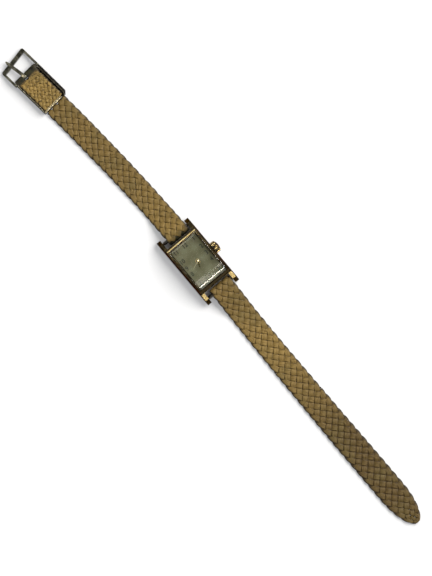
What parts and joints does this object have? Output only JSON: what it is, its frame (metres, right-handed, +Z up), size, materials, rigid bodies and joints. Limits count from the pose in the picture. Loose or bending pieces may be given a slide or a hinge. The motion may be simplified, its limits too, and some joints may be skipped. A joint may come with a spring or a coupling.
{
  "type": "bracelet watch",
  "caption": "Small hand-wound rectangular wristwatch: gilt case with domed crystal and plain-numbered dial on a narrow plaited strap with a pin buckle.",
  "frame": {"origin": "centre of the flat case back, on the surface that the watch lies on", "axes": "+Y towards twelve o'clock and the buckle, +X towards the crown, +Z up out of the dial"},
  "size_m": [0.0207, 0.2292, 0.0074],
  "materials": {
    "case_gold": "polished gilt, worn",
    "back_steel": "satin",
    "crystal_clear": "clear polished",
    "dial_paint": "satin silvered",
    "hand_gilt": "polished",
    "crown_gold": "polished",
    "stem_steel": "polished",
    "plate_nickel": "fine grained",
    "screw_blue": "blued",
    "jewel_red": "polished",
    "wheel_brass": "satin",
    "bar_steel": "polished",
    "strap_plait": "plaited shiny cord",
    "sleeve_metal": "tarnished gilt",
    "frame_metal": "tarnished gilt",
    "tongue_gilt": "worn gilt"
  },
  "bodies": {
    "case": {"case_middle": "case_gold", "case_back": "back_steel", "bezel": "case_gold", "crystal": "crystal_clear", "dial": "dial_paint", "mainplate": "plate_nickel", "barrel_bridge": "plate_nickel", "train_bridge": "plate_nickel", "balance_cock": "plate_nickel", "pallet_cock": "plate_nickel", "movement_screws": "screw_blue", "jewels": "jewel_red", "click_spring": "stem_steel", "hairspring": "screw_blue", "spring_bar_12": "bar_steel", "spring_bar_6": "bar_steel"},
    "winding_parts": {"winding_pinion": "stem_steel", "clutch_wheel": "stem_steel"},
    "crown_and_stem": {"crown": "crown_gold", "winding_stem": "stem_steel"},
    "setting_lever": {"setting_lever": "stem_steel"},
    "crown_wheel": {"crown_wheel": "stem_steel"},
    "ratchet": {"ratchet_wheel": "stem_steel", "barrel_arbor": "stem_steel"},
    "click": {"click": "stem_steel"},
    "barrel": {"barrel": "wheel_brass", "barrel_cover": "wheel_brass", "mainspring": "screw_blue"},
    "centre_wheel": {"centre_wheel": "wheel_brass"},
    "third_wheel": {"third_wheel": "wheel_brass"},
    "fourth_wheel": {"fourth_wheel": "wheel_brass"},
    "escape_wheel": {"escape_wheel": "stem_steel"},
    "pallet_fork": {"pallet_fork": "stem_steel"},
    "balance": {"balance_wheel": "wheel_brass"},
    "minute_parts": {"cannon_pinion": "stem_steel", "minute_hand": "hand_gilt"},
    "minute_wheel": {"minute_wheel": "wheel_brass"},
    "hour_parts": {"hour_wheel": "wheel_brass", "hour_hand": "hand_gilt"},
    "setting_wheel": {"setting_wheel": "wheel_brass"},
    "spring_bar_12_tip_crown_side": {"spring_bar_12_tip_crown_side": "bar_steel"},
    "spring_bar_12_tip_far_side": {"spring_bar_12_tip_far_side": "bar_steel"},
    "spring_bar_6_tip_crown_side": {"spring_bar_6_tip_crown_side": "bar_steel"},
    "spring_bar_6_tip_far_side": {"spring_bar_6_tip_far_side": "bar_steel"},
    "buckle_strap_1": {"buckle_strap_1": "strap_plait"},
    "buckle_strap_2": {"buckle_strap_2": "strap_plait"},
    "buckle_strap_3": {"buckle_strap_3": "strap_plait"},
    "buckle_strap_4": {"buckle_strap_4": "strap_plait"},
    "buckle_end": {"buckle_strap_5": "strap_plait", "sleeve": "sleeve_metal"},
    "tail_strap_1": {"tail_strap_1": "strap_plait"},
    "tail_strap_2": {"tail_strap_2": "strap_plait"},
    "tail_strap_3": {"tail_strap_3": "strap_plait"},
    "tail_strap_4": {"tail_strap_4": "strap_plait"},
    "tail_strap_5": {"tail_strap_5": "strap_plait"},
    "tail_strap_6": {"tail_strap_6": "strap_plait"},
    "tail_strap_7": {"tail_strap_7": "strap_plait"},
    "buckle_frame": {"buckle_frame": "frame_metal", "buckle_bar": "frame_metal"},
    "buckle_tongue": {"buckle_tongue": "tongue_gilt"}
  },
  "joints": [
    {"name": "crown_turn", "type": "hinge", "parent": "case", "child": "winding_parts", "pos_m": [0, 0, 0.00255], "axis": [1, 0, 0], "continuous": true},
    {"name": "crown_pull", "type": "slide", "parent": "winding_parts", "child": "crown_and_stem", "axis": [1, 0, 0], "range_m": [0, 0.0004]},
    {"name": "setting_lever_turn", "type": "hinge", "parent": "case", "child": "setting_lever", "pos_m": [0.00585, -0.0022, 0.00385], "axis": [0, 0, 1], "range_deg": [-11, 0]},
    {"name": "crown_wheel_turn", "type": "hinge", "parent": "case", "child": "crown_wheel", "pos_m": [0.003, 0, 0.0006], "axis": [0, 0, 1], "continuous": true},
    {"name": "ratchet_turn", "type": "hinge", "parent": "case", "child": "ratchet", "pos_m": [-0.0016, 0.00433, 0.0006], "axis": [0, 0, 1], "continuous": true},
    {"name": "click_rock", "type": "hinge", "parent": "case", "child": "click", "pos_m": [0.00329, 0.00611, 0.0006], "axis": [0, 0, 1], "range_deg": [-8, 0], "stiffness_Nm_per_rad": 0.000002, "springref_deg": 5.73},
    {"name": "seconds_turn", "type": "hinge", "parent": "case", "child": "fourth_wheel", "pos_m": [-0.00321, -0.00576, 0.0016], "axis": [0, 0, 1], "continuous": true},
    {"name": "escape_turn", "type": "hinge", "parent": "case", "child": "escape_wheel", "pos_m": [-0.00065, -0.0064, 0.0016], "axis": [0, 0, 1], "continuous": true},
    {"name": "third_turn", "type": "hinge", "parent": "case", "child": "third_wheel", "pos_m": [-0.00241, -0.00268, 0.0016], "axis": [0, 0, 1], "continuous": true},
    {"name": "centre_turn", "type": "hinge", "parent": "case", "child": "centre_wheel", "pos_m": [0, 0, 0.0016], "axis": [0, 0, 1], "continuous": true},
    {"name": "barrel_turn", "type": "hinge", "parent": "case", "child": "barrel", "pos_m": [-0.0016, 0.00433, 0.0016], "axis": [0, 0, 1], "continuous": true},
    {"name": "pallet_rock", "type": "hinge", "parent": "case", "child": "pallet_fork", "pos_m": [0.00069, -0.00572, 0.0016], "axis": [0, 0, 1], "range_deg": [-4, 4]},
    {"name": "balance_swing", "type": "hinge", "parent": "case", "child": "balance", "pos_m": [0.0029, -0.00459, 0.0016], "axis": [0, 0, 1], "range_deg": [-220, 220], "stiffness_Nm_per_rad": 0.000000025},
    {"name": "minute_turn", "type": "hinge", "parent": "case", "child": "minute_parts", "pos_m": [0, 0, 0.00385], "axis": [0, 0, 1], "continuous": true},
    {"name": "minute_wheel_turn", "type": "hinge", "parent": "case", "child": "minute_wheel", "pos_m": [0.00139, -0.00165, 0.00385], "axis": [0, 0, 1], "continuous": true},
    {"name": "hour_turn", "type": "hinge", "parent": "case", "child": "hour_parts", "pos_m": [0, 0, 0.00385], "axis": [0, 0, 1], "continuous": true},
    {"name": "setting_wheel_turn", "type": "hinge", "parent": "case", "child": "setting_wheel", "pos_m": [0.0038, -0.00092, 0.00385], "axis": [0, 0, 1], "continuous": true},
    {"name": "spring_bar_12_tip_crown_side_slide", "type": "slide", "parent": "case", "child": "spring_bar_12_tip_crown_side", "axis": [-1, 0, 0], "range_m": [0, 0.00075], "stiffness_N_per_m": 800, "springref_m": -0.0003},
    {"name": "spring_bar_12_tip_far_side_slide", "type": "slide", "parent": "case", "child": "spring_bar_12_tip_far_side", "axis": [1, 0, 0], "range_m": [0, 0.00075], "stiffness_N_per_m": 800, "springref_m": -0.0003},
    {"name": "spring_bar_6_tip_crown_side_slide", "type": "slide", "parent": "case", "child": "spring_bar_6_tip_crown_side", "axis": [-1, 0, 0], "range_m": [0, 0.00075], "stiffness_N_per_m": 800, "springref_m": -0.0003},
    {"name": "spring_bar_6_tip_far_side_slide", "type": "slide", "parent": "case", "child": "spring_bar_6_tip_far_side", "axis": [1, 0, 0], "range_m": [0, 0.00075], "stiffness_N_per_m": 800, "springref_m": -0.0003},
    {"name": "buckle_half_swing", "type": "hinge", "parent": "case", "child": "buckle_strap_1", "pos_m": [0.0007, 0.013, 0.0026], "axis": [-1, 0, 0], "range_deg": [-25, 30]},
    {"name": "buckle_bend_2", "type": "hinge", "parent": "buckle_strap_1", "child": "buckle_strap_2", "pos_m": [0.0005, 0.028, 0.00075], "axis": [-0.9997, -0.0262, 0], "range_deg": [-10, 20]},
    {"name": "buckle_bend_3", "type": "hinge", "parent": "buckle_strap_2", "child": "buckle_strap_3", "pos_m": [-0.0002, 0.043, 0.00075], "axis": [-0.999, -0.0454, 0], "range_deg": [-10, 20]},
    {"name": "buckle_bend_4", "type": "hinge", "parent": "buckle_strap_3", "child": "buckle_strap_4", "pos_m": [-0.0012, 0.058, 0.00075], "axis": [-0.998, -0.0628, 0], "range_deg": [-10, 20]},
    {"name": "buckle_bend_5", "type": "hinge", "parent": "buckle_strap_4", "child": "buckle_end", "pos_m": [-0.0024, 0.0734, 0.00075], "axis": [-0.9954, -0.0958, 0], "range_deg": [-10, 20]},
    {"name": "tail_half_swing", "type": "hinge", "parent": "case", "child": "tail_strap_1", "pos_m": [0.0007, -0.013, 0.0026], "axis": [1, 0, 0], "range_deg": [-25, 30]},
    {"name": "tail_bend_2", "type": "hinge", "parent": "tail_strap_1", "child": "tail_strap_2", "pos_m": [0.00035, -0.028, 0.00075], "axis": [0.9998, -0.0209, 0], "range_deg": [-10, 20]},
    {"name": "tail_bend_3", "type": "hinge", "parent": "tail_strap_2", "child": "tail_strap_3", "pos_m": [0.0001, -0.043, 0.00075], "axis": [1, -0.0087, 0], "range_deg": [-10, 20]},
    {"name": "tail_bend_4", "type": "hinge", "parent": "tail_strap_3", "child": "tail_strap_4", "pos_m": [0.00005, -0.058, 0.00075], "axis": [1, 0, 0], "range_deg": [-10, 20]},
    {"name": "tail_bend_5", "type": "hinge", "parent": "tail_strap_4", "child": "tail_strap_5", "pos_m": [0.00005, -0.073, 0.00075], "axis": [1, 0, 0], "range_deg": [-10, 20]},
    {"name": "tail_bend_6", "type": "hinge", "parent": "tail_strap_5", "child": "tail_strap_6", "pos_m": [0.0001, -0.088, 0.00075], "axis": [1, 0.0087, 0], "range_deg": [-10, 20]},
    {"name": "tail_bend_7", "type": "hinge", "parent": "tail_strap_6", "child": "tail_strap_7", "pos_m": [0.0002, -0.103, 0.00075], "axis": [1, 0.0052, 0], "range_deg": [-10, 20]},
    {"name": "buckle_frame_swing", "type": "hinge", "parent": "buckle_end", "child": "buckle_frame", "pos_m": [-0.00441, 0.0943, 0.00161], "axis": [0.9954, 0.0958, 0], "range_deg": [-25, 60]},
    {"name": "buckle_tongue_swing", "type": "hinge", "parent": "buckle_frame", "child": "buckle_tongue", "pos_m": [-0.00441, 0.0943, 0.00161], "axis": [0.9954, 0.0958, 0], "range_deg": [0, 50]}
  ],
  "couplings": [
    {"joint": "setting_lever_turn", "follows": "crown_pull", "rad_per_m": -454.55},
    {"joint": "crown_wheel_turn", "follows": "crown_turn", "ratio": 0.5},
    {"joint": "ratchet_turn", "follows": "crown_turn", "ratio": -0.27586},
    {"joint": "escape_turn", "follows": "seconds_turn", "ratio": -10},
    {"joint": "third_turn", "follows": "seconds_turn", "ratio": -0.13333},
    {"joint": "centre_turn", "follows": "seconds_turn", "ratio": 0.016667},
    {"joint": "barrel_turn", "follows": "seconds_turn", "ratio": -0.0027778},
    {"joint": "minute_wheel_turn", "follows": "minute_turn", "ratio": -0.33333},
    {"joint": "hour_turn", "follows": "minute_turn", "ratio": 0.083333},
    {"joint": "setting_wheel_turn", "follows": "minute_turn", "ratio": 0.6}
  ]
}
